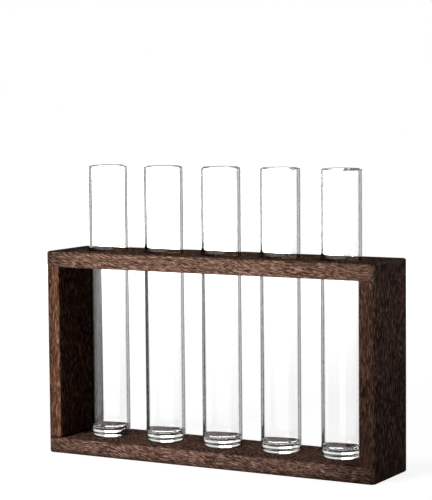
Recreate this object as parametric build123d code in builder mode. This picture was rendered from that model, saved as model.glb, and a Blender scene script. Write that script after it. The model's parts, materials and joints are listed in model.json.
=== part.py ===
"""Propagation vase: five glass tubes standing in a dark stained wooden frame.

Millimetres, +Z up, +X to the right, and -Y towards someone who faces the front.
The origin is the middle of the underside of the bottom rail.
The tubes lift straight up out of the frame. Everything else is glued or nailed together.
"""
import os

from build123d import *

# Wooden frame
frame_width = 267.0
frame_depth = 56.5
frame_height = 150.6
rail_thickness = 11.6
post_thickness = 11.5
corner_radius = 4.0  # upright corners on the outside of the frame
edge_radius = 1.5  # upper edges of the top rail and lower edges of the bottom rail
inner_radius = 0.5  # edges round the opening, eased with sandpaper

# Glass tubes
tube_count = 5
tube_diameter = 29.0
tube_length = 202.0
tube_wall = 1.4
base_thickness = 4.0  # glass under the inside bottom, at the middle
base_hollow = 0.7  # the underside is drawn up at the middle, so the tube stands on a ring
heel_radius = 3.0  # outside, from the wall to the base
well_radius = 5.0  # inside, from the wall to the bottom
tube_clearance = 0.6  # between the tube and the wall of its hole
end_gap = 11.8  # between a post and the tube next to it
hole_chamfer = 0.6

# Dowel pins in the four butt joints, two in each
dowel_diameter = 5.0
dowel_spacing = 30.0  # across the depth of the frame
dowel_depth_in_post = 13.0
dowel_cover = 4.0  # wood left between the blind hole and the outside of the rail
dowel_chamfer = 0.6
glue_gap = 0.05  # all round the dowel
glue_pocket = 0.5  # past each end of the dowel

# Sawtooth hangers on the back edge of the top rail
hanger_length = 44.0
hanger_height = 7.6
hanger_sheet = 0.8
hanger_lift = 2.0  # room for a nail head between the raised middle and the wood
hanger_tab = 7.0  # flat end that lies on the wood
hanger_ramp = 2.0  # run of the bend from the tab to the raised middle
hanger_inset = 37.5  # from the end of the rail to the middle of the hanger
hanger_corner = 2.0
tooth_count = 9
tooth_depth = 1.5
tooth_land = 0.4  # blunt tip between two notches

# Nails that hold the hangers
nail_diameter = 1.4
nail_length = 9.0  # under the head
nail_point = 1.6
nail_head_diameter = 3.2
nail_head_height = 0.9
nail_clearance = 0.05

# Places worked out from the sizes above
post_height = frame_height - 2 * rail_thickness
top_rail_bottom = frame_height - rail_thickness
post_x = (frame_width - post_thickness) / 2
back_y = frame_depth / 2
tube_radius = tube_diameter / 2
outer_tube_x = frame_width / 2 - post_thickness - end_gap - tube_radius
tube_pitch = 2 * outer_tube_x / (tube_count - 1)
dowel_depth_in_rail = rail_thickness - dowel_cover - glue_pocket
dowel_hole_radius = dowel_diameter / 2 + glue_gap
hanger_x = frame_width / 2 - hanger_inset
hanger_z = frame_height - rail_thickness / 2
nail_spacing = hanger_length - hanger_tab
nail_hole_radius = nail_diameter / 2 + nail_clearance

os.makedirs("parts", exist_ok=True)


def save(piece, name):
    """Name a finished piece and write it as its own file."""
    piece.label = name
    export_step(piece, f"parts/{name}.step")


def facing_down(height):
    """A plane at a height whose holes are drilled upwards."""
    return Plane(origin=(0, 0, height), x_dir=(1, 0, 0), z_dir=(0, 0, -1))


def facing_back(x, y):
    """A plane at the height of the hangers, seen from behind, with its own Y axis up."""
    return Plane(origin=(x, y, hanger_z), x_dir=(-1, 0, 0), z_dir=(0, 1, 0))


def dome_radius(half_width, rise):
    """The radius of the arc that rises this far over this half width."""
    return (half_width**2 + rise**2) / (2 * rise)


# Bottom rail: a flat board with blind dowel holes in its top at each end
with BuildPart() as bottom_rail:
    with BuildSketch():
        RectangleRounded(frame_width, frame_depth, corner_radius)
    extrude(amount=rail_thickness)
    fillet(bottom_rail.faces().sort_by(Axis.Z)[0].edges(), edge_radius)
    fillet(bottom_rail.faces().sort_by(Axis.Z)[-1].edges(), inner_radius)
    with Locations(Plane.XY.offset(rail_thickness)):
        with GridLocations(2 * post_x, dowel_spacing, 2, 2):
            Hole(dowel_hole_radius, depth=dowel_depth_in_rail + glue_pocket)
save(bottom_rail.part, "bottom_rail")

# Top rail: the same board, bored for the tubes, with dowel holes below and pilot holes for the nails
with BuildPart() as top_rail:
    with BuildSketch(Plane.XY.offset(top_rail_bottom)):
        RectangleRounded(frame_width, frame_depth, corner_radius)
    extrude(amount=rail_thickness)
    fillet(top_rail.faces().sort_by(Axis.Z)[-1].edges(), edge_radius)
    fillet(top_rail.faces().sort_by(Axis.Z)[0].edges(), inner_radius)
    with Locations(Plane.XY.offset(frame_height)):
        with GridLocations(tube_pitch, tube_pitch, tube_count, 1):
            Hole(tube_radius + tube_clearance, depth=rail_thickness)
    hole_rims = top_rail.edges().filter_by(GeomType.CIRCLE).filter_by(lambda rim: rim.radius > tube_radius)
    chamfer(hole_rims, hole_chamfer)
    with Locations(facing_down(top_rail_bottom)):
        with GridLocations(2 * post_x, dowel_spacing, 2, 2):
            Hole(dowel_hole_radius, depth=dowel_depth_in_rail + glue_pocket)
    for side in (-1, 1):
        with Locations(facing_back(side * hanger_x, back_y)):
            with GridLocations(nail_spacing, hanger_height, 2, 1):
                Hole(nail_hole_radius, depth=nail_length - hanger_sheet + nail_clearance)
save(top_rail.part, "top_rail")


def make_post(side):
    """An upright board between the rails: side is -1 for the left post and 1 for the right one."""
    with BuildPart() as post:
        with BuildSketch(Plane.XY.offset(rail_thickness)):
            with Locations((side * post_x, 0)):
                Rectangle(post_thickness, frame_depth)
        extrude(amount=post_height)
        outward = Axis((0, 0, 0), (side, 0, 0))
        fillet(post.edges().filter_by(Axis.Z).group_by(outward)[-1], corner_radius)
        fillet(post.edges().filter_by(Axis.Z).group_by(outward)[0], inner_radius)
        for end in (facing_down(rail_thickness), Plane.XY.offset(top_rail_bottom)):
            with Locations(end):
                with Locations((side * post_x, 0)):
                    with GridLocations(post_thickness, dowel_spacing, 1, 2):
                        Hole(dowel_hole_radius, depth=dowel_depth_in_post + glue_pocket)
    return post.part


save(make_post(-1), "left_post")
save(make_post(1), "right_post")

# Dowel pins: two across each butt joint
dowel_length = dowel_depth_in_rail + dowel_depth_in_post
dowel_offset = (dowel_depth_in_post - dowel_depth_in_rail) / 2
with BuildPart() as corner_dowels:
    for middle in (rail_thickness + dowel_offset, top_rail_bottom - dowel_offset):
        with Locations((0, 0, middle)):
            with GridLocations(2 * post_x, dowel_spacing, 2, 2):
                Cylinder(dowel_diameter / 2, dowel_length)
    chamfer(corner_dowels.edges().filter_by(GeomType.CIRCLE), dowel_chamfer)
save(corner_dowels.part, "corner_dowels")


def make_tube(x):
    """A flat-bottomed glass tube, turned about its own axis, that stands on the bottom rail."""
    bore_radius = tube_radius - tube_wall
    rim_radius = tube_wall / 2
    rim_level = tube_length - rim_radius
    foot_radius = tube_radius - heel_radius
    floor_level = base_hollow + base_thickness
    with BuildPart() as tube:
        with BuildSketch(Plane(origin=(x, 0, rail_thickness), x_dir=(1, 0, 0), z_dir=(0, -1, 0))):
            with BuildLine():
                hollow = RadiusArc((0, base_hollow), (foot_radius, 0), dome_radius(foot_radius, base_hollow))
                heel = RadiusArc(hollow @ 1, (tube_radius, heel_radius), -heel_radius)
                outside = Line(heel @ 1, (tube_radius, rim_level))
                rim_top = (bore_radius + rim_radius, tube_length)
                rim = ThreePointArc(outside @ 1, rim_top, (bore_radius, rim_level))
                inside = Line(rim @ 1, (bore_radius, floor_level + well_radius))
                well = RadiusArc(inside @ 1, (bore_radius - well_radius, floor_level), well_radius)
                floor = Line(well @ 1, (0, floor_level))
                Line(floor @ 1, hollow @ 0)
            make_face()
        revolve(axis=Axis((x, 0, 0), (0, 0, 1)))
    return tube.part


for index in range(tube_count):
    save(make_tube(index * tube_pitch - outer_tube_x), f"tube_{index + 1}")


def make_hanger(x):
    """A stamped strip with flat nailed tabs, a raised middle and notches along its lower edge."""
    end_x = hanger_length / 2
    bend_x = end_x - hanger_tab
    raised_x = bend_x - hanger_ramp
    tab_y = back_y + hanger_sheet / 2
    raised_y = tab_y + hanger_lift
    tooth_pitch = 2 * raised_x / tooth_count
    notch_half = (tooth_pitch - tooth_land) / 2
    notch = ((-notch_half, 0), (notch_half, 0), (0, tooth_depth))
    with BuildPart() as hanger:
        with BuildSketch(Plane.XY.offset(hanger_z - hanger_height / 2)):
            with BuildLine():
                Polyline(
                    (x - end_x, tab_y),
                    (x - bend_x, tab_y),
                    (x - raised_x, raised_y),
                    (x + raised_x, raised_y),
                    (x + bend_x, tab_y),
                    (x + end_x, tab_y),
                )
            trace(line_width=hanger_sheet)
        extrude(amount=hanger_height)
        with BuildSketch(facing_back(x, back_y)):
            RectangleRounded(hanger_length, hanger_height, hanger_corner)
            with Locations((0, -hanger_height / 2)):
                with GridLocations(tooth_pitch, tooth_pitch, tooth_count, 1):
                    Polygon(*notch, align=None, mode=Mode.SUBTRACT)
        extrude(amount=hanger_lift + 2 * hanger_sheet, mode=Mode.INTERSECT)
        with Locations(facing_back(x, back_y + hanger_sheet)):
            with GridLocations(nail_spacing, hanger_height, 2, 1):
                Hole(nail_hole_radius, depth=hanger_sheet)
    return hanger.part


save(make_hanger(-hanger_x), "left_hanger")
save(make_hanger(hanger_x), "right_hanger")

# Nails: a low dome head on the tab, and a shank with a point in the wood
nail_places = [side * hanger_x + end * nail_spacing / 2 for side in (-1, 1) for end in (-1, 1)]
nail_radius = nail_diameter / 2
head_radius = nail_head_diameter / 2
head_dome_radius = dome_radius(head_radius, nail_head_height)
with BuildPart() as hanger_nails:
    for x in nail_places:
        with BuildSketch(Plane(origin=(x, back_y + hanger_sheet, hanger_z))):
            with BuildLine():
                dome = RadiusArc((0, nail_head_height), (head_radius, 0), head_dome_radius)
                shank = Polyline(
                    dome @ 1,
                    (nail_radius, 0),
                    (nail_radius, nail_point - nail_length),
                    (0, -nail_length),
                )
                Line(shank @ 1, dome @ 0)
            make_face()
        revolve(axis=Axis((x, 0, hanger_z), (0, 1, 0)))
save(hanger_nails.part, "hanger_nails")
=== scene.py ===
# %% [markdown]
# # A propagation vase: glass tubes in a dark stained wooden frame
#
# The real object is a rack of four thin boards with a row of flat-bottomed glass tubes standing in it.
# The boards, hangers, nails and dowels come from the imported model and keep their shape, and the tubes are
# spun anew to the same section. The rest of this script is the way they all look: brushed and stained wood,
# clear glass, zinc on steel and bare beech.

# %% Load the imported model
import json
import math

import bmesh
import bpy
from mathutils import Matrix, Vector


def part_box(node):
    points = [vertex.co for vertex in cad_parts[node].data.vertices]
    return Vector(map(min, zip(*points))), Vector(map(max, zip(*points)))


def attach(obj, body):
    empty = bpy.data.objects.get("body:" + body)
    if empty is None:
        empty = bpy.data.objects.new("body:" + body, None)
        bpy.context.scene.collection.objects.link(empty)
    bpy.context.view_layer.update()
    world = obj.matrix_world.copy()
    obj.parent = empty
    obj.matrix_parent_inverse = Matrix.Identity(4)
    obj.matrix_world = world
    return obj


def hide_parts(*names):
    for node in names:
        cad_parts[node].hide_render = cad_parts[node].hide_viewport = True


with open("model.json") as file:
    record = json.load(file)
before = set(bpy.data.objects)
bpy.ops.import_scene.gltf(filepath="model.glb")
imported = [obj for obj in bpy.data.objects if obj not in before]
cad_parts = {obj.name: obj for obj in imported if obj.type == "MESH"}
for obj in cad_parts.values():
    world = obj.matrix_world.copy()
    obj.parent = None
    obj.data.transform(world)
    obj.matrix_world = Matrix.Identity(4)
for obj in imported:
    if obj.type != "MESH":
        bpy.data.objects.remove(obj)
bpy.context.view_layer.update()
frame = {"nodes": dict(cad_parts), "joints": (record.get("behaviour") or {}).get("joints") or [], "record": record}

MM = 0.001
scene = bpy.context.scene
print("pieces loaded:", ", ".join(sorted(frame["nodes"])))

# %% [markdown]
# ## Camera
#
# A product photograph is usually taken from far away with a long lens, so that upright edges stay
# nearly parallel. Position and lens were found by matching the corners of the frame: the camera stands
# to the right of the middle and a little above the rails. A focal length in pixels becomes a lens in
# millimetres because Blender's sensor width spans the longer side of the picture.

# %% Place the camera
PICTURE_HEIGHT_PX = 500
FOCAL_PX = 1894
AZIMUTH = math.radians(29.505)
ELEVATION = math.radians(4.865)
ROLL = math.radians(-0.514)
DISTANCE = 1363.2 * MM
AIM = Vector((-4.2, 0.0, 153.6)) * MM

camera_data = bpy.data.cameras.new("camera")
camera_data.lens = FOCAL_PX * camera_data.sensor_width / PICTURE_HEIGHT_PX
camera = bpy.data.objects.new("camera", camera_data)
scene.collection.objects.link(camera)
backward = Vector((
    math.sin(AZIMUTH) * math.cos(ELEVATION),
    -math.cos(AZIMUTH) * math.cos(ELEVATION),
    math.sin(ELEVATION),
))
turn = backward.to_track_quat("Z", "Y").to_matrix().to_4x4()
camera.matrix_world = Matrix.Translation(AIM + backward * DISTANCE) @ turn @ Matrix.Rotation(ROLL, 4, "Z")
scene.camera = camera
print(f"camera: lens {camera_data.lens:.1f} mm, at {tuple(round(c, 3) for c in camera.location)}")

# %% [markdown]
# ## Small helpers
#
# Colours are written as they look on a screen and turned to the linear values that shaders use.
# Node trees are easier to read when one function adds a node, sets it up and wires its inputs.

# %% Helpers for colours, nodes and materials
FACTOR, FIRST, SECOND, MIXED = 0, 6, 7, 2  # sockets of a Mix node that mixes colours


def to_linear(hex_colour):
    """sRGB hex such as '#6a4a3d' to a linear RGBA tuple."""
    channels = [int(hex_colour[i:i + 2], 16) / 255 for i in (1, 3, 5)]
    linear = [c / 12.92 if c <= 0.04045 else ((c + 0.055) / 1.055) ** 2.4 for c in channels]
    return (*linear, 1.0)


def add_node(tree, kind, inputs=None, **settings):
    """Add a node, set its own options, and give each input a value or a link from another socket."""
    node = tree.nodes.new(kind)
    for option, value in settings.items():
        setattr(node, option, value)
    for socket, value in (inputs or {}).items():
        if isinstance(value, bpy.types.NodeSocket):
            tree.links.new(value, node.inputs[socket])
        else:
            node.inputs[socket].default_value = value
    return node


def new_material(name):
    """An empty node material and its output node."""
    material = bpy.data.materials.new(name)
    material.use_nodes = True
    material.node_tree.nodes.clear()
    return material, material.node_tree, add_node(material.node_tree, "ShaderNodeOutputMaterial")


def give_material(piece, material):
    """Make this the only material of a piece."""
    piece.data.materials.clear()
    piece.data.materials.append(material)


WHITE = to_linear("#ffffff")
print("white in linear light:", WHITE)

# %% [markdown]
# ## White ground
#
# The picture has a plain white ground. A bright world would wash out the dark wood, so the white is only
# a colour for what the camera, a reflection or clear glass sees, and as light the world is weak. The Light
# Path node tells those rays from the ones that gather light, and a path that has met a matt surface counts
# as gathering. The white fades to grey overhead, as in a studio with white walls and a dark ceiling:
# without something dark to bend, a clear rim or foot would vanish against the white.

# %% World that looks white and hardly lights
AMBIENT = 0.035  # strength of the world as light
CEILING = 0.25  # strength of the grey overhead, where 1 is white
CEILING_FADE = (0.25, 0.75)  # how steeply a ray climbs where the grey starts, and where it is full


def seen_directly(tree):
    """1 for camera, mirror and glass rays, 0 for the rays that gather light."""
    path = add_node(tree, "ShaderNodeLightPath").outputs
    mirror = add_node(tree, "ShaderNodeMath", {
        0: path["Is Camera Ray"], 1: path["Is Glossy Ray"]}, operation="MAXIMUM").outputs[0]
    seen = add_node(tree, "ShaderNodeMath", {
        0: mirror, 1: path["Is Transmission Ray"]}, operation="MAXIMUM").outputs[0]
    unscattered = add_node(tree, "ShaderNodeMath", {
        0: path["Diffuse Depth"], 1: 0.5}, operation="LESS_THAN").outputs[0]
    return add_node(tree, "ShaderNodeMath", {0: seen, 1: unscattered}, operation="MULTIPLY").outputs[0]


world = bpy.data.worlds.new("studio")
scene.world = world
world.use_nodes = True
tree = world.node_tree
tree.nodes.clear()
direction = add_node(tree, "ShaderNodeTexCoord").outputs["Generated"]
upward = add_node(tree, "ShaderNodeSeparateXYZ", {0: direction}).outputs["Z"]
wall_level = add_node(tree, "ShaderNodeMapRange", {
    "Value": upward, "From Min": CEILING_FADE[0], "From Max": CEILING_FADE[1],
    "To Min": 1.0, "To Max": CEILING}).outputs[0]
light_level = add_node(tree, "ShaderNodeMapRange", {
    "Value": seen_directly(tree), "To Min": AMBIENT, "To Max": wall_level}).outputs[0]
sky = add_node(tree, "ShaderNodeBackground", {"Color": WHITE, "Strength": light_level})
add_node(tree, "ShaderNodeOutputWorld", {"Surface": sky.outputs[0]})
print(f"world: white to look at, strength {AMBIENT} as light")

# %% [markdown]
# ## Lamps
#
# One broad soft lamp stands in front and to the left. It falls on the front of the boards, skims over
# their tops at a low angle and leaves the right end dark. Two weak lamps keep the back and the right end
# from going black, and the one on the right is a little cool. Light that is caught inside a glass wall is
# mirrored there many times, so the limit on bounces is raised. The spots of light that glass throws on
# wood are left out: in this picture the inner faces of the boards stay dark.

# %% Key lamp and two weak fills
GLASS_BOUNCES = 32


def soft_light(name, place, size, watts, colour):
    """A square area light that faces the middle of the object."""
    data = bpy.data.lights.new(name, "AREA")
    data.shape = "SQUARE"
    data.size = size
    data.energy = watts
    data.color = to_linear(colour)[:3]
    light = bpy.data.objects.new(name, data)
    facing = (Vector(place) - AIM).to_track_quat("Z", "Y").to_matrix().to_4x4()
    light.matrix_world = Matrix.Translation(place) @ facing
    scene.collection.objects.link(light)
    print(f"{name}: {watts} W, {size} m across")


# Places and sizes of the lamps are in metres.
soft_light("key", (-0.42, -1.40, 0.36), 0.6, 22.5, "#ffffff")
soft_light("back_fill", (-0.9, 1.3, 0.16), 0.7, 13.0, "#ffffff")
soft_light("side_fill", (1.1, 0.0, 0.08), 0.1, 3.4, "#dcefff")
scene.view_settings.view_transform = "Standard"
scene.cycles.max_bounces = GLASS_BOUNCES
scene.cycles.transmission_bounces = GLASS_BOUNCES
scene.cycles.glossy_bounces = GLASS_BOUNCES
scene.cycles.caustics_reflective = False
scene.cycles.caustics_refractive = False

# %% [markdown]
# ## Floor
#
# The floor is one matt white plane. Near the rack it keeps some real shading, for the shadow, and it
# fades to plain white further out, so that no horizon shows.

# %% Matt floor that fades to white
FLOOR_HALF_SIZE = 6.0
FLOOR_GLOW_NEAR = 0.88  # strength of the white near the rack, where the lamps add the rest
FADE_START, FADE_END = 0.30, 1.00  # metres from the middle of the rack

floor_mesh = bpy.data.meshes.new("floor")
shape = bmesh.new()
bmesh.ops.create_grid(shape, x_segments=1, y_segments=1, size=FLOOR_HALF_SIZE)
shape.to_mesh(floor_mesh)
shape.free()
floor = bpy.data.objects.new("floor", floor_mesh)
scene.collection.objects.link(floor)

white_floor, tree, output = new_material("matt_white_floor")
paint = add_node(tree, "ShaderNodeBsdfDiffuse", {"Color": to_linear("#b4b4b4")})
place = add_node(tree, "ShaderNodeTexCoord").outputs["Object"]
reach = add_node(tree, "ShaderNodeVectorMath", {0: place}, operation="LENGTH").outputs["Value"]
fade = add_node(tree, "ShaderNodeMapRange", {
    "Value": reach, "From Min": FADE_START, "From Max": FADE_END,
    "To Min": FLOOR_GLOW_NEAR, "To Max": 1.0}).outputs[0]
glow_level = add_node(tree, "ShaderNodeMath", {
    0: seen_directly(tree), 1: fade}, operation="MULTIPLY").outputs[0]
glow = add_node(tree, "ShaderNodeEmission", {"Color": WHITE, "Strength": glow_level})
both = add_node(tree, "ShaderNodeAddShader", {0: paint.outputs[0], 1: glow.outputs[0]})
tree.links.new(both.outputs[0], output.inputs["Surface"])
give_material(floor, white_floor)
print(f"floor: {2 * FLOOR_HALF_SIZE} m across")

# %% [markdown]
# ## Stained wood
#
# The boards are a cheap soft wood, brushed with wire so that the soft grain wears away, then stained dark
# brown. The stain sinks into the hollows and leaves short pale strokes on the ridges. The grain could be
# painted as an image, but noise that is set out in millimetres runs round every corner without a seam.
# The strokes wander with the fibres, so slow noises first bend the space that the finer ones are drawn in.
# The rails have their fibres along X and the posts along Z, so a Mapping node turns the same pattern.
# The boards are flat sawn, which makes the strokes broader on the wide faces than on the edges.
# Light and shade are also painted into the colour: the boards are darker at their ends and along the lower
# edge, and most of all at the lower right, and the left post has a thin dark line at its foot. A Color Ramp
# sets this painted light and shade along each board.

# %% Fibres that wander
SWEEPS_MM = ((42.0, 3.5), (6.0, 0.3))  # length of each bend in the fibres, and how far they stray


def fibre_space(tree, fibre_turn):
    """Millimetres with X along the fibres: first the straight space, then the same space bent."""
    place = add_node(tree, "ShaderNodeTexCoord").outputs["Object"]
    straight = add_node(tree, "ShaderNodeMapping", {
        "Vector": place, "Rotation": (0, fibre_turn, 0), "Scale": (1 / MM, 1 / MM, 1 / MM)}).outputs[0]
    bent = straight
    for length, stray in SWEEPS_MM:
        sweep = add_node(tree, "ShaderNodeTexNoise", {
            "Vector": straight, "Scale": 1 / length, "Detail": 0.0}).outputs["Color"]
        centred = add_node(tree, "ShaderNodeVectorMath", {
            0: sweep, 1: (0.5, 0.5, 0.5)}, operation="SUBTRACT").outputs[0]
        bent = add_node(tree, "ShaderNodeVectorMath", {
            0: centred, 1: (0, 2 * stray, 2 * stray), 2: bent}, operation="MULTIPLY_ADD").outputs[0]
    return straight, bent


print("fibres bend every", " and ".join(f"{length} mm" for length, _ in SWEEPS_MM))

# %% Ridges, pores and patches
STROKE_MM = (4.4, 0.5)  # length and width of a pale stroke, a little coarser than real so that it shows
PORE_MM = (5.8, 0.55)  # length and width of a dark pore
BROAD = 2.5  # how much broader both are on the wide faces, which run through the depth of the frame
PATCH_MM = 24.0  # size of the uneven patches in the stain
STROKE_DETAIL, PORE_DETAIL, PATCH_DETAIL = 1.0, 1.5, 2.0  # how much finer noise each mark carries
FINE_SHARE = 0.6  # how strong that finer noise is in strokes and pores
RIDGE_LEVELS = (0.48, 0.62)  # heights of the noise where a ridge starts, and where it is full
PORE_LEVELS = (0.50, 0.38)  # pores are low places, so these run downwards
PATCH_LEVELS = (0.35, 0.65)


def brush_marks(tree, bent, stretch):
    """How much of a ridge, a pore and a dark patch each point has: stretch draws the strokes out."""
    heights = []
    for (length, width), detail in ((STROKE_MM, STROKE_DETAIL), (PORE_MM, PORE_DETAIL)):
        drawn_out = add_node(tree, "ShaderNodeVectorMath", {
            0: bent, 1: (1 / (stretch * length), 1 / (BROAD * width), 1 / width)},
            operation="MULTIPLY").outputs[0]
        heights.append(add_node(tree, "ShaderNodeTexNoise", {
            "Vector": drawn_out, "Scale": 1.0, "Detail": detail, "Roughness": FINE_SHARE}).outputs["Fac"])
    heights.append(add_node(tree, "ShaderNodeTexNoise", {
        "Vector": bent, "Scale": 1 / PATCH_MM, "Detail": PATCH_DETAIL}).outputs["Fac"])
    return [
        add_node(tree, "ShaderNodeMapRange", {
            "Value": height, "From Min": start, "From Max": full}, interpolation_type=way).outputs[0]
        for height, (start, full), way in zip(
            heights, (RIDGE_LEVELS, PORE_LEVELS, PATCH_LEVELS), ("SMOOTHSTEP", "SMOOTHSTEP", "LINEAR"))
    ]


print(f"strokes {STROKE_MM[0]} x {STROKE_MM[1]} mm, pores {PORE_MM[0]} x {PORE_MM[1]} mm")

# %% Cut ends
RAY_MM = (0.7, 6.0)  # width and height of the faint upright streaks on a cut end
RAY_LEVELS = (0.40, 0.65)
CUT_LEVELS = (0.7, 0.95)  # how squarely a face cuts the fibres where the end shades start, and are full


def cut_end(tree, straight, fibre_turn, shades):
    """How much of a cut end each point is, from 0 to 1, and the colour of a cut end."""
    normal = add_node(tree, "ShaderNodeTexCoord").outputs["Normal"]
    facing = add_node(tree, "ShaderNodeMapping", {
        "Vector": normal, "Rotation": (0, fibre_turn, 0)}, vector_type="VECTOR").outputs[0]
    along = add_node(tree, "ShaderNodeSeparateXYZ", {0: facing}).outputs["X"]
    squarely = add_node(tree, "ShaderNodeMath", {0: along}, operation="ABSOLUTE").outputs[0]
    share = add_node(tree, "ShaderNodeMapRange", {
        "Value": squarely, "From Min": CUT_LEVELS[0], "From Max": CUT_LEVELS[1]}).outputs[0]
    width, height = RAY_MM
    upright = add_node(tree, "ShaderNodeVectorMath", {
        0: straight, 1: (1 / height, 1 / width, 1 / height)}, operation="MULTIPLY").outputs[0]
    rays = add_node(tree, "ShaderNodeTexNoise", {
        "Vector": upright, "Scale": 1.0, "Detail": 1.0}).outputs["Fac"]
    streak = add_node(tree, "ShaderNodeMapRange", {
        "Value": rays, "From Min": RAY_LEVELS[0], "From Max": RAY_LEVELS[1]}).outputs[0]
    dark, light = shades
    colour = add_node(tree, "ShaderNodeMix", {
        FACTOR: streak, FIRST: to_linear(dark), SECOND: to_linear(light)}, data_type="RGBA").outputs[MIXED]
    return share, colour


print("cut ends: streaks", RAY_MM[0], "mm wide")

# %% Light and shade painted along the boards
def paint_light_and_shade_on(tree, colour, axis, stops):
    """Paint light and shade along one axis: each stop is a place in millimetres and the share left there."""
    place = add_node(tree, "ShaderNodeTexCoord").outputs["Object"]
    along = add_node(tree, "ShaderNodeSeparateXYZ", {0: place}).outputs[axis]
    start, end = stops[0][0], stops[-1][0]
    part = add_node(tree, "ShaderNodeMapRange", {
        "Value": along, "From Min": start * MM, "From Max": end * MM}).outputs[0]
    ramp = add_node(tree, "ShaderNodeValToRGB", {0: part})
    shades = ramp.color_ramp.elements
    for at, _ in stops[1:-1]:
        shades.new((at - start) / (end - start))
    for shade, (_, share) in zip(shades, stops):
        shade.color = (share, share, share, 1.0)
    return add_node(tree, "ShaderNodeMix", {FACTOR: 1.0, FIRST: colour, SECOND: ramp.outputs[0]},
                    data_type="RGBA", blend_type="MULTIPLY").outputs[MIXED]


print("uneven stain: tones along the boards")

# %% Brushed and stained wood
PATCH_SHARE, RIDGE_SHARE, PORE_SHARE = 0.4, 0.88, 0.88  # how far each mark changes the colour under it
RELIEF_MM = 0.35  # depth left by the wire brush
RELIEF_STRENGTH = 0.6
HOLLOW_ROUGHNESS, RIDGE_ROUGHNESS = 0.85, 0.68  # the brush leaves the ridges a little smoother


def stained_wood(name, fibre_turn, stretch, deep, body, pale, end_shades, tones):
    """Wood with fibres along X, turned by fibre_turn about Y, in shades of stain with painted light and shade."""
    material, tree, output = new_material(name)
    straight, bent = fibre_space(tree, fibre_turn)
    ridge, pore, patch = brush_marks(tree, bent, stretch)
    colour = to_linear(body)
    for mark, share, shade in (
            (patch, PATCH_SHARE, deep), (ridge, RIDGE_SHARE, pale), (pore, PORE_SHARE, deep)):
        amount = add_node(tree, "ShaderNodeMath", {0: mark, 1: share}, operation="MULTIPLY").outputs[0]
        colour = add_node(tree, "ShaderNodeMix", {
            FACTOR: amount, FIRST: colour, SECOND: to_linear(shade)}, data_type="RGBA").outputs[MIXED]
    # Painted light and shade along the board, laid over the stain.
    for axis, stops in tones.items():
        colour = paint_light_and_shade_on(tree, colour, axis, stops)
    end_share, end_colour = cut_end(tree, straight, fibre_turn, end_shades)
    colour = add_node(tree, "ShaderNodeMix", {
        FACTOR: end_share, FIRST: colour, SECOND: end_colour}, data_type="RGBA").outputs[MIXED]

    height = add_node(tree, "ShaderNodeMath", {0: ridge, 1: pore}, operation="SUBTRACT").outputs[0]
    relief = add_node(tree, "ShaderNodeBump", {
        "Height": height, "Distance": RELIEF_MM * MM, "Strength": RELIEF_STRENGTH}).outputs[0]
    sheen = add_node(tree, "ShaderNodeMapRange", {
        "Value": ridge, "To Min": HOLLOW_ROUGHNESS, "To Max": RIDGE_ROUGHNESS}).outputs[0]
    # A matt stain has next to no gloss, so its specular level is 0.
    surface = add_node(tree, "ShaderNodeBsdfPrincipled", {
        "Base Color": colour, "Roughness": sheen, "Normal": relief, "IOR": 1.45, "Specular IOR Level": 0.0})
    tree.links.new(surface.outputs[0], output.inputs["Surface"])
    return material


print(f"brushed wood: relief {RELIEF_MM} mm deep")

# %% Stain each board
UPRIGHT = math.pi / 2  # turns the fibres from X to Z
RAIL_SLANT = math.radians(-11)  # the strokes on the rails run downhill to the right
SHORT, LONG = 1.0, 1.25  # the strokes on the posts are longer than those on the rails
END_SHADES = ("#261611", "#6f5248")  # cut ends drink more stain and turn darker
# The bottom rail's cut ends are darker still: a painted shade of the lower right.
END_SHADES_WITH_PAINTED_SHADE = ("#1a0f0a", "#4c372d")  # those of the bottom rail
board_shades = {
    "top_rail": (RAIL_SLANT, SHORT, "#3a251b", "#755646", "#bd9a88", END_SHADES),
    "bottom_rail": (RAIL_SLANT, SHORT, "#2e1c15", "#694c40", "#ac8b7c", END_SHADES_WITH_PAINTED_SHADE),
    "left_post": (UPRIGHT, LONG, "#331d13", "#694533", "#a67a64", END_SHADES),
    # The right post's shades hold a painted shade of the lower right, which makes them darker than the left
    # post's.
    "right_post": (UPRIGHT, LONG, "#21130d", "#412e26", "#705244", END_SHADES),
}
# Each stop is a place in millimetres along the axis, and the share of the colour left there. The ramps paint
# shade at the ends of the boards, along the lower edge of the bottom rail and towards the lower right, and
# paint light where a share is above 1. The left post also has a thin dark line at its foot, along its joint.
painted_light_and_shade = {
    "top_rail": {
        "X": (
            (-134, 0.25), (-126, 0.55), (-118, 0.75), (-103, 0.93),
            (0, 1.0), (60, 1.0), (100, 0.82), (134, 0.7))},
    "bottom_rail": {
        "X": (
            (-134, 0.6), (-122, 0.9), (-103, 1.05), (0, 1.07),
            (60, 0.98), (95, 0.86), (115, 0.5), (134, 0.35)),
        "Z": ((0, 0.3), (1.5, 0.5), (4, 0.88), (11.6, 1.15))},
    "left_post": {
        "X": ((-134, 0.5), (-130, 0.65), (-126, 0.97), (-122, 1.2)),
        "Z": ((11.6, 0.1), (12.2, 0.2), (13.0, 1.0), (139, 1.0))},
    "right_post": {
        "Z": ((11.6, 0.64), (30, 0.72), (72, 0.84), (86, 1.08), (139, 1.2))},
}
for board, finish in board_shades.items():
    wood = stained_wood("brushed_stained_pine_" + board, *finish, painted_light_and_shade[board])
    give_material(frame["nodes"][board], wood)
print("stained:", ", ".join(board_shades))

# %% [markdown]
# ## Glass tubes
#
# Each tube is drawn glass with a straight wall, a fire-polished rim and a thick flat foot whose underside
# is drawn up a little. It is a turned shape, so half of its section is drawn as a wire, its corners are
# rounded with a vertex bevel, and the wire is spun about the axis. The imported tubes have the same
# section, and these stand in for them because an evenly spun mesh bends light without facets.

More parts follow.
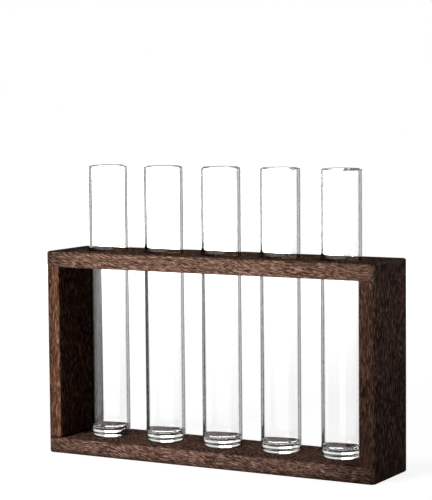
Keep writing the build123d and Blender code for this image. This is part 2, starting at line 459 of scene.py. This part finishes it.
# %% Spin a glass tube
WALL = 1.4 * MM
BASE = 4.0 * MM  # glass under the inside bottom, at the middle
HOLLOW = 0.7 * MM  # the underside is drawn up this far at the middle
HEEL_RADIUS = 3.0 * MM
WELL_RADIUS = 5.0 * MM
HOLD = 0.2 * MM  # short step beside each rounding, so that smooth shading doesn't bend the straight wall
SPIN_STEPS = 96
ROUND_STEPS, RIM_STEPS = 8, 6  # segments of the heel and the well, and of each half of the rim
SAME_POINT = 1e-6  # points closer than this, in metres, are merged


def spin_tube(name, low, high):
    """A glass tube that fills the box from low to high."""
    radius = (high.x - low.x) / 2
    axis = Vector(((low.x + high.x) / 2, (low.y + high.y) / 2, 0.0))
    bore = radius - WALL
    floor_z = low.z + HOLLOW + BASE
    section = (
        (0.0, low.z + HOLLOW), (radius - HEEL_RADIUS - WALL, low.z), (radius, low.z),
        (radius, low.z + HEEL_RADIUS + HOLD), (radius, high.z - WALL / 2 - HOLD), (radius, high.z),
        (bore, high.z), (bore, high.z - WALL / 2 - HOLD), (bore, floor_z + WELL_RADIUS + HOLD),
        (bore, floor_z), (bore - WELL_RADIUS - HOLD, floor_z), (0.0, floor_z),
    )
    shape = bmesh.new()
    corners = [shape.verts.new(axis + Vector((r, 0.0, z))) for r, z in section]
    for start, end in zip(corners, corners[1:]):
        shape.edges.new((start, end))
    heel, well, rim = (2,), (9,), (5, 6)  # corners of the section, counted from 0
    for places, amount, steps in (
            (heel, HEEL_RADIUS, ROUND_STEPS), (well, WELL_RADIUS, ROUND_STEPS), (rim, WALL / 2, RIM_STEPS)):
        bmesh.ops.bevel(shape, geom=[corners[i] for i in places], offset=amount, affect="VERTICES",
                        segments=steps, profile=0.5, material=-1)
    bmesh.ops.spin(shape, geom=shape.verts[:] + shape.edges[:], cent=axis, axis=(0, 0, 1),
                   angle=2 * math.pi, steps=SPIN_STEPS, use_merge=True)
    bmesh.ops.remove_doubles(shape, verts=shape.verts, dist=SAME_POINT)
    bmesh.ops.recalc_face_normals(shape, faces=shape.faces)
    mesh = bpy.data.meshes.new(name)
    shape.to_mesh(mesh)
    shape.free()
    mesh.shade_smooth()
    tube = bpy.data.objects.new(name, mesh)
    scene.collection.objects.link(tube)
    print(name, len(mesh.polygons), "faces")
    return tube


print(f"tube section: wall {WALL / MM:.1f} mm, foot {BASE / MM:.1f} mm")

# %% [markdown]
# ## Glass
#
# Soda lime glass is clear to look through and grey green where the eye looks along the wall: at the sides
# of a tube and into its rim. Absorption in the body of the glass gives the green. The thin dark outline is a
# tint that grows towards grazing angles, partly the glass's own colour along a long path and partly painted
# shade for dark surroundings that the glass would bend in, and on the rim it is painted shade. Lamps are let
# through by a Transparent shader for shadow rays, because a clear tube throws hardly any shadow.

# %% Drawn soda lime glass
EDGE_LEVELS = (0.46, 0.67)  # how far a face turns away from the eye where the tint starts, and is full
# On the rim the dark tint is painted shade.
RIM_PAINTED_SHADE = 0.9  # share of the tint on the rim
OUTLINE_TINT_AND_PAINTED_SHADE = "#0c0e0c"
BODY_TINT, BODY_DENSITY = "#aaae95", 10.0  # what the body of the glass absorbs, and how fast
SHADOW_TINT = "#f6f8f5"

glass, tree, output = new_material("drawn_soda_lime_glass")
# Dark tint at grazing angles: partly the glass's own colour, partly painted shade for dark surroundings.
grazing = add_node(tree, "ShaderNodeLayerWeight", {"Blend": 0.5}).outputs["Facing"]
edge = add_node(tree, "ShaderNodeMapRange", {
    "Value": grazing, "From Min": EDGE_LEVELS[0], "From Max": EDGE_LEVELS[1]},
    interpolation_type="SMOOTHSTEP").outputs[0]
place = add_node(tree, "ShaderNodeTexCoord").outputs["Object"]
level = add_node(tree, "ShaderNodeSeparateXYZ", {0: place}).outputs["Z"]
rim_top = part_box("tube_1")[1].z
# Painted shade on the rim, set by height.
rim = add_node(tree, "ShaderNodeMapRange", {
    "Value": level, "From Min": rim_top - WALL, "From Max": rim_top - WALL / 2,
    "To Max": RIM_PAINTED_SHADE}).outputs[0]
outline_and_painted_shade = add_node(tree, "ShaderNodeMath", {0: edge, 1: rim}, operation="MAXIMUM").outputs[0]
tint_and_painted_shade = add_node(tree, "ShaderNodeMix", {
    FACTOR: outline_and_painted_shade, FIRST: WHITE, SECOND: to_linear(OUTLINE_TINT_AND_PAINTED_SHADE)}, data_type="RGBA").outputs[MIXED]
surface = add_node(tree, "ShaderNodeBsdfPrincipled", {
    "Base Color": tint_and_painted_shade, "Roughness": 0.0, "IOR": 1.5, "Transmission Weight": 1.0})
shadow = add_node(tree, "ShaderNodeLightPath").outputs["Is Shadow Ray"]
clear = add_node(tree, "ShaderNodeBsdfTransparent", {"Color": to_linear(SHADOW_TINT)})
either = add_node(tree, "ShaderNodeMixShader", {0: shadow, 1: surface.outputs[0], 2: clear.outputs[0]})
depth = add_node(tree, "ShaderNodeVolumeAbsorption", {
    "Color": to_linear(BODY_TINT), "Density": BODY_DENSITY})
tree.links.new(either.outputs[0], output.inputs["Surface"])
tree.links.new(depth.outputs[0], output.inputs["Volume"])
print(f"glass: rim at {rim_top / MM:.0f} mm")

# %% Put a glass tube in place of each packed one
for joint in frame["joints"]:
    body = joint["child"]
    node = frame["record"]["behaviour"]["bodies"][body][0]
    tube = spin_tube("glass_" + node, *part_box(node))
    give_material(tube, glass)
    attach(tube, body)
    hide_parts(node)

# %% [markdown]
# ## Hangers and nails
#
# The sawtooth hangers are stamped from thin sheet and zinc plated, and so are their nails. Zinc is a cool
# grey metal. Rolling leaves fine lines in the sheet, which change the gloss more than the colour, and the
# plating has cloudy spots, so one noise drives the roughness and another the grey.

# %% Zinc plated steel
ROLLING_MM = (12.0, 0.25, 0.25)  # length, depth and height of a rolling line
CLOUD_MM = 3.0  # size of a cloudy spot
LINE_LEVELS = (0.3, 0.7)  # heights of the noise between which the gloss changes
ZINC_ROUGHNESS = (0.28, 0.48)

zinc, tree, output = new_material("zinc_plated_steel")
place = add_node(tree, "ShaderNodeTexCoord").outputs["Object"]
rolled = add_node(tree, "ShaderNodeMapping", {
    "Vector": place, "Scale": [1 / (size * MM) for size in ROLLING_MM]}).outputs[0]
lines = add_node(tree, "ShaderNodeTexNoise", {"Vector": rolled, "Scale": 1.0, "Detail": 2.0}).outputs["Fac"]
dull = add_node(tree, "ShaderNodeMapRange", {
    "Value": lines, "From Min": LINE_LEVELS[0], "From Max": LINE_LEVELS[1],
    "To Min": ZINC_ROUGHNESS[0], "To Max": ZINC_ROUGHNESS[1]}).outputs[0]
clouds = add_node(tree, "ShaderNodeTexNoise", {
    "Vector": place, "Scale": 1 / (CLOUD_MM * MM), "Detail": 2.0}).outputs["Fac"]
grey = add_node(tree, "ShaderNodeMix", {
    FACTOR: clouds, FIRST: to_linear("#8d9194"), SECOND: to_linear("#b6babc")},
    data_type="RGBA").outputs[MIXED]
surface = add_node(tree, "ShaderNodeBsdfPrincipled", {
    "Base Color": grey, "Metallic": 1.0, "Roughness": dull})
tree.links.new(surface.outputs[0], output.inputs["Surface"])
for node in ("left_hanger", "right_hanger", "hanger_nails"):
    give_material(frame["nodes"][node], zinc)
print("zinc: two hangers and their nails")

# %% [markdown]
# ## Dowels
#
# The dowels are bare beech and hidden in the joints. Beech is pale tan with short darker flecks along
# the grain, and one stretched noise between two tans is enough for it.

# %% Bare beech
FLECK_MM = (0.5, 0.5, 3.0)  # width, depth and length of a fleck

beech, tree, output = new_material("bare_beech")
place = add_node(tree, "ShaderNodeTexCoord").outputs["Object"]
grain = add_node(tree, "ShaderNodeMapping", {
    "Vector": place, "Scale": [1 / (size * MM) for size in FLECK_MM]}).outputs[0]
flecks = add_node(tree, "ShaderNodeTexNoise", {"Vector": grain, "Scale": 1.0, "Detail": 2.0}).outputs["Fac"]
tan = add_node(tree, "ShaderNodeMix", {
    FACTOR: flecks, FIRST: to_linear("#c99a6b"), SECOND: to_linear("#a87a4e")},
    data_type="RGBA").outputs[MIXED]
surface = add_node(tree, "ShaderNodeBsdfPrincipled", {"Base Color": tan, "Roughness": 0.6})
tree.links.new(surface.outputs[0], output.inputs["Surface"])
give_material(frame["nodes"]["corner_dowels"], beech)
print("beech: the corner dowels")
